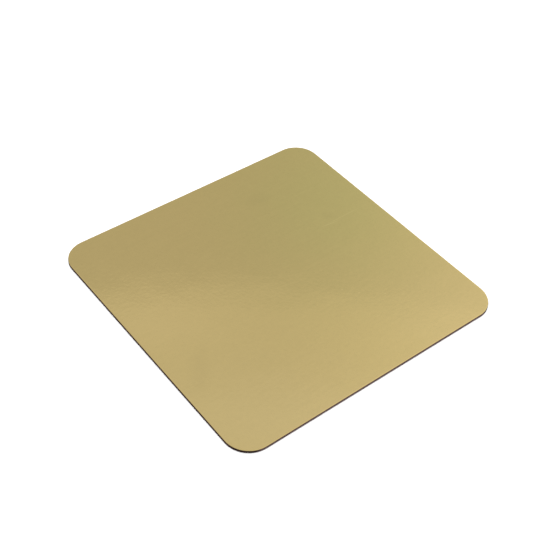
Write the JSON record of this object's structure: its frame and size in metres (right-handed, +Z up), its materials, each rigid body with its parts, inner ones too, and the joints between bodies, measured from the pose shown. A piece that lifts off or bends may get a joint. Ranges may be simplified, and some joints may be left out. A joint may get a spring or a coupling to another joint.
{
  "type": "cake board",
  "caption": "Flat square card board with round corners and a gold film face, to stand a cake on.",
  "frame": {"origin": "centre of the board's underside", "axes": "+Z up, out of the gold face; the sides run along X and Y"},
  "size_m": [0.3, 0.3, 0.003],
  "materials": {
    "gold_film_card": "gold metallised film on the upper face, satin mirror; bare brown-grey card on the cut edge and underneath"
  },
  "bodies": {
    "root": {"cake_board": "gold_film_card"}
  },
  "joints": []
}
